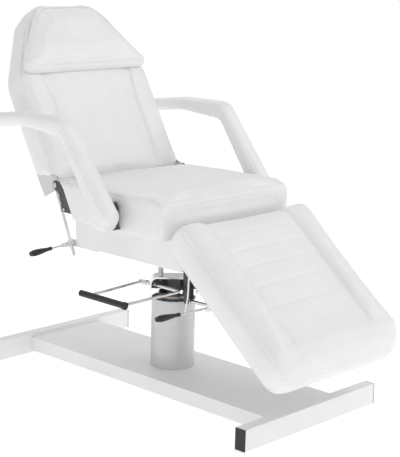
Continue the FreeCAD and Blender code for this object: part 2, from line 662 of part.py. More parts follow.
def back_clamp_block():
    clamp, axis, _ = back_strut_axis()
    tilt = math.degrees(math.atan2(axis.z, axis.y)) - 90
    barrel = cylinder(clamp + V(0, 0, -13), clamp + V(0, 0, 13), 12.0)
    trunnion = cylinder(clamp, clamp + V(24, 0, 0), 6.0)
    collar = cylinder(clamp + V(8, 0, 0), clamp + V(11.5, 0, 0), 10.0)
    ears = [box(clamp.x - 36, clamp.x - 8, clamp.y + y - 2.5, clamp.y + y + 2.5,
                clamp.z - 7, clamp.z + 7) for y in (-9.5, 9.5)]
    pin = cylinder(clamp + V(-29, -12, 0), clamp + V(-29, 12, 0), 3.0)
    block = fuse(barrel, trunnion, collar, pin, *ears)
    block = block.cut(cylinder(clamp + V(0, 0, -40), clamp + V(0, 0, 40), STRUT_RADIUS + RUNNING))
    return turned(block, tilt, clamp)


def back_strut_rod():
    """Rod whose slotted head rides on the pin of the backrest lug."""
    clamp, axis, distance = back_strut_axis()
    tilt = math.degrees(math.atan2(axis.z, axis.y)) - 90
    top = clamp + V(0, 0, distance)
    rod = cylinder(top + V(0, 0, -BACK_ROD_LENGTH), top + V(0, 0, -HEAD_NECK), STRUT_RADIUS)
    head = strut_head(top)
    return turned(fuse(rod, head), tilt, clamp)


def strut_head(pin_at):
    """Flat head with a long slot, drawn upright round a pin."""
    y, z = pin_at.y, pin_at.z
    half_x, half_y, half_z = 5.5, 12.0, 23.0
    outline = [(y - half_y, z - HEAD_NECK - 2, 6), (y + half_y, z - HEAD_NECK - 2, 6),
               (y + half_y, z + half_z, 11), (y - half_y, z + half_z, 11)]
    slot = [(y - 7.5, z - 18.5, 7), (y + 7.5, z - 18.5, 7), (y + 7.5, z + 18.5, 7),
            (y - 7.5, z + 18.5, 7)]
    plate = plate_yz(outline, pin_at.x - half_x, pin_at.x + half_x)
    return plate.cut(plate_yz(slot, pin_at.x - half_x, pin_at.x + half_x))


def leg_strut_axis():
    """Pivot by the saddle, unit vector towards the leg rest pin, and their distance."""
    pivot = V(LEG_STRUT_X, *LEG_PIVOT_YZ)
    line = leg_point(*LEG_STRUT_ST, x=LEG_STRUT_X) - pivot
    return pivot, V(line).normalize(), line.Length


def along_leg_strut(shape):
    """Places a shape drawn along +Z from the pivot onto the strut line."""
    pivot, axis, _ = leg_strut_axis()
    return turned(shape, math.degrees(math.atan2(axis.z, axis.y)) - 90, pivot)


def leg_strut_lug():
    """Fork hanging from the mounting plate in front of the saddle."""
    y, z = LEG_PIVOT_YZ
    corners = [(y - 12, MOUNT_Z, 0), (y + 16, MOUNT_Z, 0), (y + 11, z - 10.5, 9), (y - 11, z - 10.5, 9)]
    bridge = box(LEG_STRUT_X - 12.5, LEG_STRUT_X + 12.5, y - 12, y + 14, MOUNT_Z - 20, MOUNT_Z)
    return fuse(bridge, *fork(LEG_STRUT_X, 17, 4, corners, (y, z), PIVOT_PIN))


def leg_strut_rod():
    pivot, _, _ = leg_strut_axis()
    eye = cylinder(pivot + V(-8, 0, 0), pivot + V(8, 0, 0), 10.0)
    rod = cylinder(pivot, pivot + V(0, 0, LEG_ROD_LENGTH), STRUT_RADIUS)
    bore = cylinder(pivot + V(-9, 0, 0), pivot + V(9, 0, 0), PIVOT_PIN + RUNNING)
    return along_leg_strut(fuse(eye, rod).cut(bore))


def leg_strut_tube():
    pivot, _, distance = leg_strut_axis()
    pin_at = pivot + V(0, 0, distance)
    start = pin_at - V(0, 0, LEG_TUBE_LENGTH)
    end = pin_at - V(0, 0, HEAD_NECK)
    shell = cylinder(start, end, LEG_TUBE_RADIUS)
    bore = cylinder(start - V(0, 0, 1), end - V(0, 0, 6), STRUT_RADIUS + RUNNING)
    return along_leg_strut(fuse(shell, strut_head(pin_at)).cut(bore))


def leg_clamp_collar():
    """Collar round the mouth of the tube, with two ears and the lever's pin on the -X side."""
    pivot, _, distance = leg_strut_axis()
    mouth = pivot + V(0, 0, distance - LEG_TUBE_LENGTH)
    middle = mouth + V(0, 0, 14)
    ring = cylinder(mouth + V(0, 0, 2), mouth + V(0, 0, 26), 12.5)
    ears = [box(middle.x - 36, middle.x - 8, middle.y + y - 2.5, middle.y + y + 2.5,
                middle.z - 7, middle.z + 7) for y in (-9.5, 9.5)]
    pin = cylinder(middle + V(-29, -12, 0), middle + V(-29, 12, 0), 3.0)
    solid = fuse(ring, pin, *ears).cut(cylinder(mouth, mouth + V(0, 0, 40), LEG_TUBE_RADIUS))
    return along_leg_strut(solid)


def leg_lever_hub():
    """Centre of the lever's hub, and the direction of its pin."""
    pivot, axis, distance = leg_strut_axis()
    down = V(0, -axis.z, axis.y)
    return pivot + axis * (distance - LEG_TUBE_LENGTH + 14) + V(-29, 0, 0), down


LEG_LEVER_RISE = V(-1, 0, 0.03).normalize()


def leg_lever_rod():
    """Clamp lever: hub between the collar's ears, stout sleeve, then a thin rod towards -X."""
    centre, down = leg_lever_hub()
    hub = cylinder(centre - down * 6.5, centre + down * 6.5, 7.5)
    sleeve = cylinder(centre + LEG_LEVER_RISE * 5, centre + LEG_LEVER_RISE * 64, 4.6)
    rod = cylinder(centre + LEG_LEVER_RISE * 60, centre + LEG_LEVER_RISE * 150, 2.8)
    bore = cylinder(centre - down * 20, centre + down * 20, 3.0 + RUNNING)
    return fuse(hub, sleeve, rod).cut(bore)


def leg_lever_grip():
    centre, _ = leg_lever_hub()
    start = centre + LEG_LEVER_RISE * 136
    grip = turned_grip(start, start + LEG_LEVER_RISE * 104, [6.6, 6.0, 7.6, 9.6, 11.0, 11.2, 8.2])
    return grip.cut(leg_lever_rod())


def back_lever_hub():
    clamp, _, _ = back_strut_axis()
    return clamp + V(-29, 0, 0)


def back_lever_tilted(shape):
    clamp, axis, _ = back_strut_axis()
    return turned(shape, math.degrees(math.atan2(axis.z, axis.y)) - 90, clamp)


def back_lever_rod():
    hub_at = back_lever_hub()
    hub = cylinder(hub_at + V(0, -6.7, 0), hub_at + V(0, 6.7, 0), 6.5)
    rod = cone(hub_at + V(-4, 0, 0), hub_at + V(-78, 0, -5), 4.2, 3.0)
    bore = cylinder(hub_at + V(0, -9, 0), hub_at + V(0, 9, 0), 3.0 + RUNNING)
    return back_lever_tilted(fuse(hub, rod).cut(bore))


def back_lever_grip():
    start = back_lever_hub() + V(-62, 0, -4)
    along = V(-74, 0, -5).normalize()
    grip = turned_grip(start, start + along * 92, [7.0, 6.4, 8.0, 10.0, 11.2, 11.2, 8.4])
    return back_lever_tilted(grip).cut(back_lever_rod())


# ---- pump lever and release rod ------------------------------------------------------
def lever_bearing():
    """Bearing tube for the pump lever, hung under the top of the saddle."""
    x, z = LEVER_SHAFT_X, LEVER_Z
    shell = cylinder(V(x, 28, z), V(x, 50, z), 12.0)
    web = box(x - 3, x + 3, 33, 47, z + 8, HUB_TOP - 4)
    bore = cylinder(V(x, 20, z), V(x, 60, z), LEVER_SHAFT_RADIUS + RUNNING)
    return fuse(shell, web).cut(Part.makeCompound([bore, saddle()]))


def pump_lever_arms():
    x, z = LEVER_SHAFT_X, LEVER_Z
    shaft = cylinder(V(x, LEVER_FRONT_Y - 6, z), V(x, LEVER_REAR_Y + 8, z), LEVER_SHAFT_RADIUS)
    collar = cylinder(V(x, LEVER_REAR_Y - 26, z), V(x, LEVER_REAR_Y + 8, z), 9.5)
    rear = cylinder(V(x, LEVER_REAR_Y, z), V(LEVER_GRIP_X, 76, z), LEVER_ROD)
    front = cylinder(V(x, LEVER_FRONT_Y, z), V(LEVER_GRIP_X, LEVER_FRONT_Y, z), LEVER_ROD)
    bar = cylinder(V(LEVER_GRIP_X, LEVER_FRONT_Y - 5, z), V(LEVER_GRIP_X, 112, z), LEVER_ROD)
    return fuse(shaft, collar, rear, front, bar)


def pump_lever_grip():
    start, end = V(LEVER_GRIP_X, LEVER_FRONT_Y - 12, LEVER_Z), V(LEVER_GRIP_X, 118, LEVER_Z)
    sleeve = fuse(cylinder(start, end, LEVER_GRIP_RADIUS),
                  cylinder(start, start + V(0, 9, 0), LEVER_GRIP_RADIUS + 2))
    return sleeve.cut(pump_lever_arms())


def release_rod():
    """Thin rod hung from an eye under the mounting plate, ending in a bent foot."""
    eye = tube(RELEASE_TOP + V(-3.5, 0, 0), RELEASE_TOP + V(3.5, 0, 0), 6.5, 3.0 + RUNNING)
    knee = V(-60, -126, 330)
    start = RELEASE_TOP + (knee - RELEASE_TOP).normalize() * 5
    upper = cylinder(start, knee, 2.8)
    lower = cylinder(knee, RELEASE_BOTTOM, 2.8)
    joint = Part.makeSphere(2.8, knee)
    return fuse(eye, upper, joint, lower)


# ---- armrests ------------------------------------------------------------------------
def arm_outline():
    """Boomerang in side view: near-level rest, elbow, post sloping down and forwards."""
    return [(535, 912, 22), (330, 938, 200), (125, 938, 62), (-60, 706, 60), (-98, 650, 30),
            (-72, 598, 24), (-28, 624, 30), (8, 694, 60), (132, 878, 46), (330, 890, 200),
            (535, 866, 22)]


def arm_core_outline():
    """Flat bar along the middle of the arm."""
    return [(515, 896, 5), (330, 921, 0), (134, 921, 30), (-42, 700, 20), (-72, 650, 10),
            (-66, 618, 6), (-42, 630, 6), (-8, 702, 20), (136, 898, 20), (330, 906, 0), (515, 882, 5)]


def arm_frame():
    """Flat core of the arm with the tongue that drops into the socket."""
    core = plate_yz(arm_core_outline(), ARM_X - 5, ARM_X + 5)
    half_x = SOCKET_SIZE_X / 2 - SOCKET_WALL - TONGUE_CLEARANCE
    half_y = SOCKET_SIZE_Y / 2 - SOCKET_WALL - TONGUE_CLEARANCE
    tongue = box(SOCKET_X - half_x, SOCKET_X + half_x, SOCKET_Y - half_y, SOCKET_Y + half_y,
                 SOCKET_BOTTOM + 8, SOCKET_TOP + 12)
    tab = box(SOCKET_X - half_x, ARM_X, SOCKET_Y - 17, SOCKET_Y + 17, SOCKET_TOP + 0.3,
              SOCKET_TOP + 12)
    shoulder = box(SOCKET_X - SOCKET_SIZE_X / 2, SOCKET_X + SOCKET_SIZE_X / 2, SOCKET_Y - half_y,
                   SOCKET_Y + half_y, SOCKET_TOP + 0.3, SOCKET_TOP + 6)
    return fuse(core, tongue, tab, shoulder)


def arm_pad():
    half = ARM_WIDTH / 2
    return plate_yz(arm_outline(), ARM_X - half, ARM_X + half).cut(arm_frame())


def arm_sockets():
    half_x, half_y = SOCKET_SIZE_X / 2, SOCKET_SIZE_Y / 2
    sleeve = rect_tube_z(SOCKET_X - half_x, SOCKET_X + half_x, SOCKET_Y - half_y, SOCKET_Y + half_y,
                         SOCKET_BOTTOM, SOCKET_TOP, SOCKET_WALL)
    foot = box(250, SOCKET_X + half_x, SOCKET_Y - half_y, SOCKET_Y + half_y, SOCKET_BOTTOM,
               SOCKET_BOTTOM + 6)
    return both_sides(fuse(sleeve, foot))


# ---- all nodes -----------------------------------------------------------------------
def export(node, shape):
    assert shape.isValid(), node
    shape = moved(shape, TO_ROW_FRAME)
    shape.exportStep("parts/" + node + ".step")
    volume = sum(solid.Volume for solid in shape.Solids)
    print("%-24s %2d solids %10.1f cm3" % (node, len(shape.Solids), volume / 1000))


def main():
    os.makedirs("parts", exist_ok=True)
    export("front_crossbar", crossbar(FRONT_BAR_Y))
    export("rear_crossbar", crossbar(REAR_BAR_Y))
    arm_frame_right_hand = arm_frame()
    arm_pad_right_hand = arm_pad()
    makers = [crossbar_end_caps, base_platform, column_cover, pump_flange, flange_bolts, guide_tube,
              guide_bush, piston_rod, piston_seal, lift_cylinder, swivel_spindle, thrust_washer,
              swivel_hub, saddle, saddle_web, saddle_spacers, saddle_bolts, mounting_plate, frame_rails,
              frame_posts, frame_crossmembers, seat_board, seat_cushion, seat_skirt,
              back_hinge_brackets, hinge_pins, bracket_bolts, back_cushion, back_board, back_rails,
              back_hinge_plates, back_strut_lug, head_pillow, leg_cushion, leg_board, leg_frame,
              leg_strut_fork, leg_hinge_lugs, back_clamp_arm, back_clamp_block, back_strut_rod,
              leg_strut_lug, leg_strut_rod, leg_strut_tube, leg_clamp_collar, leg_lever_rod,
              leg_lever_grip, back_lever_rod, back_lever_grip, lever_bearing, pump_lever_arms,
              pump_lever_grip, release_rod, arm_sockets]
    for maker in makers:
        export(maker.__name__, maker())
    export("arm_frame_left", arm_frame_right_hand)
    export("arm_pad_left", arm_pad_right_hand)
    export("arm_frame_right", mirrored(arm_frame_right_hand))
    export("arm_pad_right", mirrored(arm_pad_right_hand))


main()
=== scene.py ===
"""Looks of the treatment chair: upholstery, piping, metal finishes, light and camera."""
import json
import math

import bmesh
import bpy
import numpy as np
from mathutils import Matrix, Vector
from mathutils.bvhtree import BVHTree


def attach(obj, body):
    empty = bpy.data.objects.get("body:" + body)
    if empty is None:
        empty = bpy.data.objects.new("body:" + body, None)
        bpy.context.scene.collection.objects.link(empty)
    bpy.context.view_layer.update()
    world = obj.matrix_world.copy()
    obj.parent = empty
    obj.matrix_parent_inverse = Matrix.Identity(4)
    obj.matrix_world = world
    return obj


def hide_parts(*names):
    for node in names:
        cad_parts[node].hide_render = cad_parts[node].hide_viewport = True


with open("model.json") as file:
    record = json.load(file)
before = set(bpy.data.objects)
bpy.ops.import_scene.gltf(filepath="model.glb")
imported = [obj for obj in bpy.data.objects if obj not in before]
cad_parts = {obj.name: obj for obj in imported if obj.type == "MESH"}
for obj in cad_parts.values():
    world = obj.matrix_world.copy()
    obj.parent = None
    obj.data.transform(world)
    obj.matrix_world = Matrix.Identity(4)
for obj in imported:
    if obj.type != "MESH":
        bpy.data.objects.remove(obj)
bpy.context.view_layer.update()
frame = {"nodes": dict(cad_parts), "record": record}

ROW_Y = 0.04067                       # from the column axis to the origin of the frame
SIMULATED_FRAMES = 14                 # cloth steps of each cushion
LARGE_VOXEL = 0.008                   # mesh size of seat, back and leg rest
PILLOW_VOXEL, ARM_VOXEL = 0.006, 0.005
BOLSTER_X = 0.190                     # seam between the centre panel and the side bolsters
QUILT_LINES = (-0.085, -0.150, -0.215, -0.290, -0.372)    # across the leg rest, in its own y
WELT_RADIUS, WELT_SINK = 0.0024, 0.0006
ARM_X = 0.380                         # middle plane of an armrest
FLOOR_HALF = 14.0

CAMERA_PLACE = (-3.137, -3.0886 + ROW_Y, 1.490)
CAMERA_RIGHT, CAMERA_UP = (0.6913, -0.7222, 0.0249), (0.1351, 0.1631, 0.9773)
CAMERA_AHEAD = (0.7099, 0.6722, -0.2103)


# ---- local frames of the three upholstered panels ------------------------------------
def tilted(y, z, degrees):
    return Matrix.Translation((0, y + ROW_Y, z)) @ Matrix.Rotation(math.radians(degrees), 4, "X")


BACK = tilted(0.266, 0.690, 60.5)    # x, up the back, out of the front face
LEG = tilted(-0.254, 0.590, 40.0)    # x, towards the hinge, out of the top face
SEAT = Matrix.Translation((0, ROW_Y, 0))


# ---- materials -----------------------------------------------------------------------
class Nodes:
    """Small helper around one material's node tree."""

    def __init__(self, name):
        self.material = bpy.data.materials.new(name)
        self.material.use_nodes = True
        self.tree = self.material.node_tree
        self.shader = self.tree.nodes["Principled BSDF"]
        self.coords = self.tree.nodes.new("ShaderNodeTexCoord").outputs["Object"]

    def add(self, kind, **values):
        node = self.tree.nodes.new(kind)
        for key, value in values.items():
            if hasattr(node, key):
                setattr(node, key, value)
            else:
                node.inputs[key].default_value = value
        return node

    def link(self, source, target):
        self.tree.links.new(source, target)

    def noise(self, scale, detail=3.0, roughness=0.5, distortion=0.0, stretch=None):
        node = self.add("ShaderNodeTexNoise", Scale=scale, Detail=detail, Roughness=roughness,
                        Distortion=distortion)
        source = self.coords
        if stretch:
            mapping = self.add("ShaderNodeMapping")
            mapping.inputs["Scale"].default_value = stretch
            self.link(source, mapping.inputs["Vector"])
            source = mapping.outputs["Vector"]
        self.link(source, node.inputs["Vector"])
        return node.outputs["Fac"]

    def cells(self, scale):
        node = self.add("ShaderNodeTexVoronoi", Scale=scale)
        self.link(self.coords, node.inputs["Vector"])
        return node.outputs["Distance"]

    def ramp(self, fac, low, high, start=0.0, end=1.0):
        node = self.add("ShaderNodeValToRGB")
        node.color_ramp.elements[0].position = start
        node.color_ramp.elements[1].position = end
        node.color_ramp.elements[0].color = low if len(low) == 4 else (*low, 1)
        node.color_ramp.elements[1].color = high if len(high) == 4 else (*high, 1)
        self.link(fac, node.inputs["Fac"])
        return node.outputs["Color"]

    def span(self, fac, low, high):
        node = self.add("ShaderNodeMapRange")
        node.inputs["To Min"].default_value = low
        node.inputs["To Max"].default_value = high
        self.link(fac, node.inputs["Value"])
        return node.outputs["Result"]

    def bump(self, height, strength, distance, after=None):
        node = self.add("ShaderNodeBump", Strength=strength, Distance=distance)
        self.link(height, node.inputs["Height"])
        if after is not None:
            self.link(after, node.inputs["Normal"])
        return node.outputs["Normal"]


def leatherette():
    m = Nodes("white_leatherette")
    m.shader.inputs["Specular IOR Level"].default_value = 0.42
    m.shader.inputs["Coat Weight"].default_value = 0.10
    m.shader.inputs["Coat Roughness"].default_value = 0.35
    m.link(m.ramp(m.noise(9.0, 4.0), (0.815, 0.815, 0.812), (0.850, 0.850, 0.850), 0.3, 0.7),
           m.shader.inputs["Base Color"])
    m.link(m.span(m.noise(60.0, 4.0), 0.36, 0.52), m.shader.inputs["Roughness"])
    creases = m.bump(m.noise(16.0, 3.0, 0.55, 0.6, (1.0, 1.0, 1.0)), 0.10, 0.004)
    grain = m.bump(m.cells(1400.0), 0.12, 0.00025, creases)
    pores = m.bump(m.noise(2600.0, 2.0), 0.05, 0.0002, grain)
    m.link(pores, m.shader.inputs["Normal"])
    return m.material


def powder_coat():
    m = Nodes("white_powder_coat")
    m.shader.inputs["Specular IOR Level"].default_value = 0.5
    m.link(m.ramp(m.noise(6.0, 3.0), (0.83, 0.83, 0.832), (0.865, 0.865, 0.866), 0.3, 0.7),
           m.shader.inputs["Base Color"])
    m.link(m.span(m.noise(35.0, 3.0), 0.30, 0.42), m.shader.inputs["Roughness"])
    m.link(m.bump(m.noise(700.0, 2.0), 0.06, 0.0004), m.shader.inputs["Normal"])
    return m.material


def satin_grey():
    m = Nodes("satin_grey_steel")
    m.shader.inputs["Metallic"].default_value = 0.35
    m.link(m.ramp(m.noise(5.0, 3.0, 0.5, 0.0, (1, 1, 40)), (0.60, 0.605, 0.61), (0.66, 0.665, 0.67)),
           m.shader.inputs["Base Color"])
    m.link(m.span(m.noise(25.0, 4.0), 0.34, 0.46), m.shader.inputs["Roughness"])
    m.link(m.bump(m.noise(420.0, 2.0, 0.5, 0.0, (1, 1, 0.05)), 0.05, 0.0003), m.shader.inputs["Normal"])
    return m.material


def chrome():
    m = Nodes("polished_chrome")
    m.shader.inputs["Metallic"].default_value = 1.0
    m.link(m.ramp(m.noise(30.0, 3.0), (0.72, 0.73, 0.74), (0.82, 0.825, 0.83)),
           m.shader.inputs["Base Color"])
    m.link(m.span(m.noise(90.0, 5.0), 0.07, 0.17), m.shader.inputs["Roughness"])
    m.link(m.bump(m.noise(160.0, 3.0), 0.03, 0.0003), m.shader.inputs["Normal"])
    return m.material


def bare_steel():
    m = Nodes("bare_steel")
    m.shader.inputs["Metallic"].default_value = 1.0
    m.link(m.ramp(m.noise(40.0, 4.0), (0.42, 0.42, 0.43), (0.58, 0.58, 0.59)),
           m.shader.inputs["Base Color"])
    m.link(m.span(m.noise(120.0, 4.0, 0.5, 0.0, (1, 1, 8)), 0.25, 0.42), m.shader.inputs["Roughness"])
    m.link(m.bump(m.noise(300.0, 3.0), 0.05, 0.0003), m.shader.inputs["Normal"])
    return m.material


def dark_steel():
    m = Nodes("dark_grey_steel")
    m.shader.inputs["Metallic"].default_value = 0.3
    m.link(m.ramp(m.noise(30.0, 4.0), (0.055, 0.056, 0.06), (0.10, 0.10, 0.105)),
           m.shader.inputs["Base Color"])
    m.link(m.span(m.noise(70.0, 4.0), 0.32, 0.5), m.shader.inputs["Roughness"])
    m.link(m.bump(m.noise(500.0, 2.0), 0.08, 0.0004), m.shader.inputs["Normal"])
    return m.material


def bronze():
    m = Nodes("bearing_bronze")
    m.shader.inputs["Metallic"].default_value = 1.0
    m.link(m.ramp(m.noise(50.0, 4.0), (0.42, 0.28, 0.12), (0.58, 0.42, 0.22)),
           m.shader.inputs["Base Color"])
    m.link(m.span(m.noise(150.0, 3.0), 0.3, 0.5), m.shader.inputs["Roughness"])
    m.link(m.bump(m.noise(400.0, 2.0), 0.06, 0.0003), m.shader.inputs["Normal"])
    return m.material


def black_rubber():
    m = Nodes("black_rubber")
    m.shader.inputs["Specular IOR Level"].default_value = 0.45
    m.link(m.ramp(m.noise(40.0, 4.0), (0.012, 0.012, 0.012), (0.03, 0.03, 0.03)),
           m.shader.inputs["Base Color"])
    m.link(m.span(m.noise(90.0, 4.0), 0.34, 0.52), m.shader.inputs["Roughness"])
    m.link(m.bump(m.noise(1500.0, 2.0), 0.12, 0.0003), m.shader.inputs["Normal"])
    return m.material


def panel_board():
    """Vinyl-covered hardboard behind the back and under the leg rest."""
    m = Nodes("covered_rear_panel")
    m.link(m.ramp(m.noise(12.0, 4.0), (0.78, 0.78, 0.775), (0.84, 0.84, 0.835)),
           m.shader.inputs["Base Color"])
    m.link(m.span(m.noise(50.0, 3.0), 0.5, 0.68), m.shader.inputs["Roughness"])
    m.link(m.bump(m.cells(900.0), 0.15, 0.0003), m.shader.inputs["Normal"])
    return m.material


def plywood():
    m = Nodes("plywood")
    grain = m.noise(7.0, 6.0, 0.6, 1.2, (12, 1.2, 30))
    m.link(m.ramp(grain, (0.42, 0.28, 0.16), (0.66, 0.50, 0.33), 0.3, 0.75),
           m.shader.inputs["Base Color"])
    m.link(m.span(grain, 0.5, 0.7), m.shader.inputs["Roughness"])
    m.link(m.bump(grain, 0.15, 0.0008), m.shader.inputs["Normal"])
    return m.material


LEATHER = leatherette()
SLOT_MATERIALS = {
    "white_upholstery": LEATHER,
    "white_powder_coat": powder_coat(),
    "grey_satin_steel": satin_grey(),
    "chrome_steel": chrome(),
    "bare_steel": bare_steel(),
    "dark_steel": dark_steel(),
    "bearing_bronze": bronze(),
    "black_rubber": black_rubber(),
    "seal_rubber": black_rubber(),
    "plywood": plywood(),
    "rear_panel": panel_board(),
}


def dress_cad_nodes():
    for part in frame["record"]["subparts"]:
        node = frame["nodes"][part["node"]]
        for slot in node.material_slots:
            slot.material = SLOT_MATERIALS[part["material_slot"]]


# ---- soft goods ----------------------------------------------------------------------
def mm(*values):
    return Vector(values) / 1000


def rounded(corners, step=0.008):
    """Closed outline through arcs at its corners (x, y, radius in mm), evenly divided."""
    points = []
    count = len(corners)
    for i, (x, y, r) in enumerate(corners):
        here = mm(x, y)
        before = (mm(*corners[i - 1][:2]) - here).normalized()
        after = (mm(*corners[(i + 1) % count][:2]) - here).normalized()
        half = max(before.angle(after) / 2, 0.05)
        reach = r / 1000 / math.tan(half)
        start, end = here + before * reach, here + after * reach
        bow = here + (before + after).normalized() * (r / 1000 / math.sin(half))
        turn = math.pi - 2 * half
        divisions = max(2, int(turn * r / 1000 / step) + 1)
        for k in range(divisions + 1):
            f = k / divisions
            spoke = (start - bow).lerp(end - bow, f)
            points.append(bow + spoke.normalized() * (r / 1000))
    path = []
    for i, a in enumerate(points):
        b = points[(i + 1) % len(points)]
        pieces = max(1, int((b - a).length / step))
        path += [a.lerp(b, k / pieces) for k in range(pieces)]
    return [p for i, p in enumerate(path) if (p - path[i - 1]).length > 1e-5]


def inset_loop(path, inset):
    """The outline moved inwards; the path runs anticlockwise or clockwise alike."""
    area = sum(a.x * b.y - b.x * a.y for a, b in zip(path, path[1:] + path[:1]))
    side = 1 if area > 0 else -1
    moved_path = []
    for i, p in enumerate(path):
        along = (path[(i + 1) % len(path)] - path[i - 1]).normalized()
        moved_path.append(p + Vector((-along.y, along.x)) * side * inset)
    return moved_path


def loft(name, path, layers, place):
    """Closed body from the outline, drawn in by each layer's inset at its height, in mm.

    place maps (u, v, w) to the panel's own x, y, z."""
    mesh = bmesh.new()
    rings = []
    for height, inset in layers:
        loop = inset_loop(path, inset / 1000)
        rings.append([mesh.verts.new(place(p.x, p.y, height / 1000)) for p in loop])
    for low, high in zip(rings, rings[1:]):
        for i in range(len(low)):
            k = (i + 1) % len(low)
            mesh.faces.new((low[i], low[k], high[k], high[i]))
    mesh.faces.new(rings[0][::-1])
    mesh.faces.new(rings[-1])
    bmesh.ops.recalc_face_normals(mesh, faces=mesh.faces)
    data = bpy.data.meshes.new(name)
    mesh.to_mesh(data)
    mesh.free()
    piece = bpy.data.objects.new(name, data)
    bpy.context.scene.collection.objects.link(piece)
    return piece


def apply_modifiers(piece):
    graph = bpy.context.evaluated_depsgraph_get()
    graph.update()
    fresh = bpy.data.meshes.new_from_object(piece.evaluated_get(graph))
    old = piece.data
    piece.modifiers.clear()
    piece.data = fresh
    bpy.data.meshes.remove(old)


def remesh(piece, voxel):
    modifier = piece.modifiers.new("even", "REMESH")
    modifier.mode = "VOXEL"
    modifier.voxel_size = voxel
    apply_modifiers(piece)


def coordinates(piece):
    flat = np.empty(len(piece.data.vertices) * 3)
    piece.data.vertices.foreach_get("co", flat)
    return flat.reshape(-1, 3)


def set_coordinates(piece, places):
    piece.data.vertices.foreach_set("co", np.ascontiguousarray(places, dtype=np.float32).ravel())
    piece.data.update()


def normals(piece):
    flat = np.empty(len(piece.data.vertices) * 3, dtype=np.float32)
    piece.data.vertex_normals.foreach_get("vector", flat)
    return flat.reshape(-1, 3).astype(float)


def inflate(piece, held, pressure=4.0, cap=0.010):
    """Blows the cover up like a stuffed one. held(places) gives how firmly each point is fixed."""
    before = coordinates(piece)
    weights = np.clip(held(before), 0, 1)
    group = piece.vertex_groups.new(name="held")
    for level in np.unique(np.round(weights, 1)):
        if level > 0:
            chosen = np.where(np.round(weights, 1) == level)[0].tolist()
            group.add(chosen, float(level), "REPLACE")
    cloth = piece.modifiers.new("stuffing", "CLOTH")
    cloth.settings.quality = 4
    cloth.settings.mass = 0.35
    cloth.settings.tension_stiffness = 18
    cloth.settings.compression_stiffness = 12
    cloth.settings.shear_stiffness = 6
    cloth.settings.bending_stiffness = 1.2
    cloth.settings.use_pressure = True
    cloth.settings.uniform_pressure_force = pressure
    cloth.settings.vertex_group_mass = "held"
    cloth.settings.effector_weights.gravity = 0
    cloth.point_cache.frame_start, cloth.point_cache.frame_end = 1, SIMULATED_FRAMES
    scene = bpy.context.scene
    for number in range(1, SIMULATED_FRAMES + 1):
        scene.frame_set(number)
    apply_modifiers(piece)
    scene.frame_set(1)
    travel = coordinates(piece) - before
    length = np.linalg.norm(travel, axis=1, keepdims=True)
    limited = travel * (cap / np.maximum(cap, length))
    set_coordinates(piece, before + limited)


def smooth_out(piece, rounds=2):
    modifier = piece.modifiers.new("relax", "SMOOTH")
    modifier.iterations = rounds
    modifier.factor = 0.5
    apply_modifiers(piece)


def subdivide(piece):
    modifier = piece.modifiers.new("finer", "SUBSURF")
    modifier.levels = modifier.render_levels = 1
    apply_modifiers(piece)


def dent(piece, depth_at):
    """Moves each point inwards along its normal by depth_at(places, normals), in metres."""
    places, outward = coordinates(piece), normals(piece)
    set_coordinates(piece, places - outward * depth_at(places, outward)[:, None])


def groove(distance, width):
    """1 on a seam line, falling off over the width on both sides."""
    return np.exp(-(distance / width) ** 2)


def finish_cushion(piece, frame_matrix, body, node):
    """Leather, place and frame facts of one finished cushion."""
    for face in piece.data.polygons:
        face.use_smooth = True
    piece.data.materials.clear()
    piece.data.materials.append(LEATHER)
    piece.matrix_world = frame_matrix
    bpy.context.view_layer.update()
    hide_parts(node)
    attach(piece, body)


def piping(name, points, frame_matrix, body, surface, cyclic=False):
    """Round welt along the points, given in the panel's own frame and snapped to its cover."""
    tree = BVHTree.FromPolygons([v.co for v in surface.data.vertices],
                                [f.vertices for f in surface.data.polygons])
    curve = bpy.data.curves.new(name, "CURVE")
    curve.dimensions = "3D"
    curve.bevel_depth = WELT_RADIUS
    curve.bevel_resolution = 3
    curve.resolution_u = 3
    spline = curve.splines.new("NURBS")
    spline.points.add(len(points) - 1)
    for target, point in zip(spline.points, points):
        hit, normal, _, _ = tree.find_nearest(Vector(point))
        target.co = (*(hit + normal * (WELT_RADIUS * 0.5 - WELT_SINK)), 1)
    spline.use_cyclic_u = cyclic
    spline.order_u = 4
    spline.use_endpoint_u = not cyclic
    curve.materials.append(LEATHER)
    cord = bpy.data.objects.new(name, curve)
    bpy.context.scene.collection.objects.link(cord)
    cord.matrix_world = frame_matrix
    bpy.context.view_layer.update()
    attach(cord, body)


def as_is(x, y, z):
    return (x, y, z)


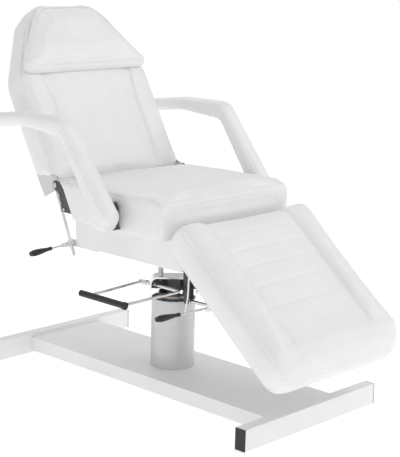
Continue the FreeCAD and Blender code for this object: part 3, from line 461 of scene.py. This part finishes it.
def seat_cushion():
    """Box cushion with a crowned top, rounded front ridge and rolled side edges."""
    profile = rounded([(-246, 576, 8), (183, 576, 6), (254, 694, 12), (239, 704, 16),
                       (30, 712, 500), (-205, 713, 34), (-249, 686, 26)])
    layers = [(-307, 12), (-306.5, 7), (-303.5, 2.8), (-297, 0.5), (-288, 0), (288, 0), (297, 0.5),
              (303.5, 2.8), (306.5, 7), (307, 12)]
    piece = loft("seat_upholstery", profile, layers, lambda u, v, w: (w, u, v))
    remesh(piece, LARGE_VOXEL)

    def held(p):
        low = p[:, 2] < 0.590
        edge = np.exp(-((np.abs(p[:, 0]) - 0.305) / 0.006) ** 2) * (p[:, 2] > 0.69)
        return np.maximum(low * 1.0, edge * 0.8)

    inflate(piece, held, pressure=5.0, cap=0.006)
    smooth_out(piece, 2)
    subdivide(piece)

    def depth(p, n):
        x, y, z = p[:, 0], p[:, 1], p[:, 2]
        side = (np.abs(n[:, 0]) > 0.55)
        front = (n[:, 1] < -0.55) & (y < -0.2)
        top_seam = groove(z - 0.698, 0.0035) * (side | front) * 0.0022
        corner_seam = groove(y + 0.232, 0.003) * side * (z < 0.698) * 0.0022
        crown = -0.005 * np.clip(1 - (x / 0.30) ** 2, 0, 1) * (n[:, 2] > 0.5) * (y < 0.2)
        puckers = 0.0012 * np.sin(y * 75 + 1.3 * np.sin(y * 23)) * side
        puckers = puckers * np.exp(-((z - 0.692) / 0.012) ** 2)
        lows = (0.0010 * np.sin(x * 19 + 2 * np.sin(y * 13)) * np.sin(y * 17 + 1.0)) * (n[:, 2] > 0.5)
        return top_seam + corner_seam + crown + puckers + lows

    dent(piece, depth)
    finish_cushion(piece, SEAT, "chair", "seat_cushion")
    for side in (-1, 1):
        line = [(side * 0.309, y, 0.7005) for y in np.linspace(-0.225, 0.232, 24)]
        piping("seat_piping_left" if side > 0 else "seat_piping_right", line, SEAT, "chair", piece)
    return piece


BACK_CORNERS = [(306, 8, 10), (306, 399, 108), (191, 610, 60), (116, 672, 58),
                (-116, 672, 58), (-191, 610, 60), (-306, 399, 108), (-306, 8, 10)]


def back_cushion():
    """Thick backrest cushion: centre panel between two bolsters, welted front edge."""
    outline = rounded(BACK_CORNERS)
    layers = [(-88, 14), (-87, 7), (-83, 2), (-76, 0), (-26, 0), (-17, 1.5), (-10, 5), (-5, 11),
              (-2.5, 20), (-1, 34)]
    piece = loft("back_upholstery", outline, layers, as_is)
    trim_lower_end(piece)
    remesh(piece, LARGE_VOXEL)

    def held(p):
        rear = p[:, 2] < -0.080
        seam = np.exp(-((np.abs(p[:, 0]) - BOLSTER_X) / 0.007) ** 2) * (p[:, 2] > -0.02)
        return np.maximum(rear * 1.0, seam * 0.9)

    inflate(piece, held, pressure=5.0, cap=0.007)
    smooth_out(piece, 2)
    subdivide(piece)

    def depth(p, n):
        x, s, t = p[:, 0], p[:, 1], p[:, 2]
        front = n[:, 2] > 0.35
        side = np.abs(n[:, 2]) < 0.75
        seam = groove(np.abs(x) - BOLSTER_X - 0.015 * np.clip((s - 0.3) / 0.09, 0, 1), 0.005)
        lines = seam * front * (s < 0.42) * 0.005
        edge = groove(t + 0.010, 0.0032) * side * 0.0018
        waist = groove(t + 0.046, 0.020) * side * 0.0012
        panel = -0.002 * np.clip(1 - (x / 0.18) ** 2, 0, 1) * front
        folds = 0.0016 * np.sin(x * 55 + 3 * np.sin(s * 20)) * np.exp(-(s - 0.01) / 0.05) * front
        return lines + edge + waist + panel + folds * (np.abs(x) < 0.29)

    dent(piece, depth)
    finish_cushion(piece, BACK, "backrest", "back_cushion")
    loop = [(p.x, p.y, -0.008) for p in rounded(BACK_CORNERS, 0.02)]
    piping("back_piping", loop, BACK, "backrest", piece, cyclic=True)
    return piece


def trim_lower_end(piece):
    """Slopes the lower end so that the cushion clears the seat as the backrest folds down."""
    places = coordinates(piece)
    s, t = places[:, 1], places[:, 2]
    slope = 0.004 + np.interp(t, [-0.120, -0.040, 0.020], [0.028, 0.004, 0.002])
    squeeze = np.clip((0.10 - s) / 0.10, 0, 1)
    places[:, 1] = np.maximum(s, slope) * squeeze + s * (1 - squeeze)
    near_hinge = (np.abs(places[:, 0]) > 0.287) & (s < np.interp(t, [-0.092, 0.0], [0.074, 0.026]))
    places[near_hinge, 0] = np.sign(places[near_hinge, 0]) * 0.287
    set_coordinates(piece, places)


def head_pillow():
    corners = [(284, 403, 24), (284, 436, 40), (168, 611, 58), (114, 657, 48),
               (-114, 657, 48), (-168, 611, 58), (-284, 436, 40), (-284, 403, 24)]
    outline = rounded(corners)
    layers = [(3, 12), (4, 6), (8, 1.5), (13, 0), (18, 1), (25, 4), (31, 10), (36, 19), (39, 30),
              (41, 46)]
    piece = loft("head_pillow_upholstery", outline, layers, as_is)
    remesh(piece, PILLOW_VOXEL)

    def held(p):
        return (p[:, 2] < 0.007) * 1.0 + np.exp(-((p[:, 1] - 0.416) / 0.006) ** 2) * 0.8

    inflate(piece, held, pressure=6.0, cap=0.008)
    smooth_out(piece, 2)
    subdivide(piece)

    def depth(p, n):
        x, s, t = p[:, 0], p[:, 1], p[:, 2]
        hem = groove(s - 0.417, 0.003) * (t > 0.008) * 0.0030
        slope = np.clip((s - 0.49) / 0.17, 0, 1) * np.clip(t / 0.045, 0, 1) * 0.019 * (n[:, 2] > 0.3)
        gathers = 0.0016 * np.sin(x * 150 + 2 * np.sin(x * 31)) * np.exp(-np.abs(s - 0.640) / 0.022)
        pleats = 0.0010 * np.sin(x * 110 + 1.0) * np.exp(-np.abs(s - 0.424) / 0.010)
        return hem + slope + (gathers + pleats) * (t > 0.012)

    dent(piece, depth)
    finish_cushion(piece, BACK, "backrest", "head_pillow")
    loop = [(p.x, p.y, 0.014) for p in rounded(corners, 0.02)]
    piping("head_pillow_piping", loop, BACK, "backrest", piece, cyclic=True)
    return piece


def leg_cushion():
    """Leg rest: two bolsters over a quilted centre, rolled knee end and sloping foot end."""
    corners = [(305, -10, 14), (305, -615, 66), (-305, -615, 66), (-305, -10, 14)]
    outline = rounded(corners)
    layers = [(-13, 12), (-12, 6), (-8, 1.5), (-2, 0), (64, 0), (76, 1.5), (85, 5), (91, 10), (94, 17),
              (96, 28)]
    piece = loft("leg_upholstery", outline, layers, as_is)
    remesh(piece, LARGE_VOXEL)
    places = coordinates(piece)
    x, y, t = places[:, 0], places[:, 1], places[:, 2]
    up = np.clip((t - 0.02) / 0.06, 0, 1)
    foot = np.clip((-0.536 - y) / 0.08, 0, 1)
    knee = np.clip((y + 0.075) / 0.065, 0, 1)
    rise = bolster_rise(x, y)
    places[:, 2] = t + up * (rise - 0.045 * foot - 0.012 * knee ** 2)
    notch = (np.abs(x) > 0.2) & (y > -0.034) & (t < 0.017)
    places[notch, 1] = np.minimum(places[notch, 1], -0.034)
    set_coordinates(piece, places)

    def held(p):
        under = p[:, 2] < -0.006
        seam = np.exp(-((np.abs(p[:, 0]) - BOLSTER_X) / 0.007) ** 2)
        seam = seam * (p[:, 2] > 0.06) * (p[:, 1] > -0.5)
        return np.maximum(under * 1.0, seam * 0.9)

    inflate(piece, held, pressure=5.0, cap=0.007)
    smooth_out(piece, 2)
    subdivide(piece)

    def depth(p, n):
        x, y, t = p[:, 0], p[:, 1], p[:, 2]
        top = n[:, 2] > 0.3
        side = np.abs(n[:, 2]) < 0.7
        seam = groove(np.abs(x) - BOLSTER_X, 0.006) * top * (y > -0.505) * 0.0045
        across = np.min([np.abs(y - line) for line in QUILT_LINES], axis=0)
        quilting = groove(across, 0.0045) * top * (np.abs(x) < BOLSTER_X - 0.01) * 0.0016
        end = (groove(t - 0.050, 0.0028) + groove(t - 0.038, 0.0028)) * (y < -0.585) * side * 0.0022
        edge = groove(t - 0.072, 0.003) * side * (y > -0.56) * 0.0018
        ripple = 0.0013 * np.sin(y * 42 + 2.0 * np.sin(y * 13))
        ripple = ripple * np.exp(-((np.abs(x) - 0.205) / 0.02) ** 2)
        return seam + quilting + end + edge + ripple * top

    dent(piece, depth)
    finish_cushion(piece, LEG, "legrest", "leg_cushion")
    for side, name in ((1, "leg_piping_left"), (-1, "leg_piping_right")):
        line = [(side * 0.306, y, 0.084) for y in np.linspace(-0.03, -0.545, 22)]
        piping(name, line, LEG, "legrest", piece)
    return piece


def bolster_rise(x, y):
    """How far the top stands above the flat: high bolsters, low centre panel."""
    across = np.abs(x)
    hill = np.interp(across, [0.0, 0.170, 0.188, 0.205, 0.235, 0.262, 0.290, 0.310],
                     [-0.008, -0.010, -0.012, -0.002, 0.010, 0.011, 0.003, -0.004])
    end = np.clip((y + 0.600) / 0.16, 0, 1)
    return hill * end


ARM_CORNERS = [(534, 911, 21), (330, 937, 200), (126, 937, 62), (-68, 702, 60), (-110, 645, 32),
               (-80, 590, 26), (-30, 608, 30), (12, 690, 64), (136, 875, 48), (330, 890, 200),
               (534, 866, 20)]


def arm_pad(side):
    name = "arm_pad_left" if side > 0 else "arm_pad_right"
    layers = [(-32, 18), (-31.5, 12), (-29, 6), (-24, 2), (-17, 0), (17, 0), (24, 2), (29, 6),
              (31.5, 12), (32, 18)]
    outline = rounded(ARM_CORNERS, 0.006)
    piece = loft(name + "_upholstery", outline, layers, lambda u, v, w: (w, u, v))
    remesh(piece, ARM_VOXEL)

    def held(p):
        return np.exp(-(p[:, 0] / 0.004) ** 2) * 0.3

    inflate(piece, held, pressure=6.0, cap=0.004)
    smooth_out(piece, 3)
    subdivide(piece)

    def depth(p, n):
        x, y, z = p[:, 0], p[:, 1], p[:, 2]
        flank = np.abs(n[:, 0]) < 0.8
        seam = groove(np.abs(x) - 0.024, 0.0018) * flank * 0.0012
        end = groove(z - 0.622 - (y + 0.07) * 0.45, 0.0024) * (y < 0.0) * 0.0018
        tucks = 0.0010 * np.sin((y + z) * 210) * np.exp(-((np.hypot(y - 0.13, z - 0.872)) / 0.05) ** 2)
        return seam + end + tucks

    dent(piece, depth)
    place = SEAT @ Matrix.Translation((side * ARM_X, 0, 0))
    finish_cushion(piece, place, "arm_left" if side > 0 else "arm_right", name)
    return piece


def upholster():
    seat_cushion()
    back_cushion()
    head_pillow()
    leg_cushion()
    arm_pad(-1)
    arm_pad(1)


# ---- stage ---------------------------------------------------------------------------
def make_stage():
    floor_mesh = bpy.data.meshes.new("floor")
    r = FLOOR_HALF
    floor_mesh.from_pydata([(-r, -r, 0), (r, -r, 0), (r, r, 0), (-r, r, 0)], [], [(0, 1, 2, 3)])
    floor = bpy.data.objects.new("floor", floor_mesh)
    bpy.context.scene.collection.objects.link(floor)
    m = Nodes("pale_floor")
    m.link(m.ramp(m.noise(2.0, 2.0), (0.70, 0.70, 0.70), (0.72, 0.72, 0.72)),
           m.shader.inputs["Base Color"])
    m.shader.inputs["Roughness"].default_value = 0.8
    m.shader.inputs["Specular IOR Level"].default_value = 0.1
    m.shader.inputs["Emission Color"].default_value = (1, 1, 1, 1)
    m.shader.inputs["Emission Strength"].default_value = 0.55
    floor_mesh.materials.append(m.material)


def area_light(name, place, target, size, watts):
    data = bpy.data.lights.new(name, "AREA")
    data.shape = "RECTANGLE"
    data.size, data.size_y = size
    data.energy = watts
    light = bpy.data.objects.new(name, data)
    light.location = place
    light.rotation_euler = (Vector(target) - Vector(place)).to_track_quat("-Z", "Y").to_euler()
    bpy.context.scene.collection.objects.link(light)


def make_light():
    """White surroundings, dimmer at half height so that upright faces fall off a little."""
    world = bpy.data.worlds.new("studio")
    world.use_nodes = True
    tree = world.node_tree
    background = tree.nodes["Background"]
    height = tree.nodes.new("ShaderNodeSeparateXYZ")
    tree.links.new(tree.nodes.new("ShaderNodeTexCoord").outputs["Generated"], height.inputs[0])
    ramp = tree.nodes.new("ShaderNodeValToRGB")
    stops = ((0.0, 1.0), (0.06, 1.0), (0.20, 0.55), (0.62, 0.60), (1.0, 0.86))
    elements = ramp.color_ramp.elements
    while len(elements) < len(stops):
        elements.new(0.5)
    for element, (place, level) in zip(elements, stops):
        element.position = place
        element.color = (level, level, level, 1)
    tree.links.new(height.outputs["Z"], ramp.inputs["Fac"])
    tree.links.new(ramp.outputs["Color"], background.inputs["Color"])
    background.inputs["Strength"].default_value = 1.0
    bpy.context.scene.world = world
    area_light("key", (2.4, -2.6, 3.4), (0, 0, 0.6), (2.2, 2.2), 40)
    area_light("fill", (-3.4, -2.2, 3.0), (0, 0, 0.6), (2.0, 2.0), 14)
    area_light("rim", (1.6, 2.8, 3.2), (0, 0, 0.8), (1.8, 1.8), 16)
    bpy.context.scene.view_settings.view_transform = "Standard"


def make_camera():
    data = bpy.data.cameras.new("camera")
    data.sensor_width = 36.0
    data.lens = 103.51
    data.clip_end = 50.0
    camera = bpy.data.objects.new("camera", data)
    axes = Matrix((Vector(CAMERA_RIGHT), Vector(CAMERA_UP), -Vector(CAMERA_AHEAD))).transposed()
    turn = axes.to_quaternion().to_matrix().to_4x4()
    camera.matrix_world = Matrix.Translation(CAMERA_PLACE) @ turn
    bpy.context.scene.collection.objects.link(camera)
    bpy.context.scene.camera = camera


make_camera()
make_light()
make_stage()
dress_cad_nodes()
upholster()
